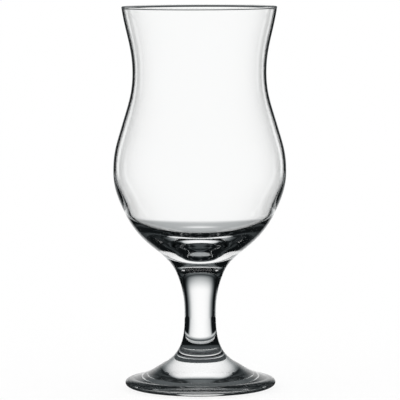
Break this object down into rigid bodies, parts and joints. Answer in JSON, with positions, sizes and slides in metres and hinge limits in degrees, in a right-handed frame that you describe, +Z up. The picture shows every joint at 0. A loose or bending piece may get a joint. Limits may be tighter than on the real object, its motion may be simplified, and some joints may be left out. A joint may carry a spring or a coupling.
{
  "type": "hurricane glass",
  "caption": "Clear stemmed cocktail glass with a flared mouth, a waist, a round bulb, a thick base, a slim solid stem and a round foot.",
  "frame": {"origin": "centre of the foot on the surface that the glass stands on", "axes": "+Z up along the axis that the glass is turned about; X and Y are alike"},
  "size_m": [0.082, 0.082, 0.1816],
  "materials": {
    "clear_glass": "clear fire-polished soda-lime glass"
  },
  "bodies": {
    "root": {"bowl": "clear_glass", "stem": "clear_glass", "foot": "clear_glass"}
  },
  "joints": []
}
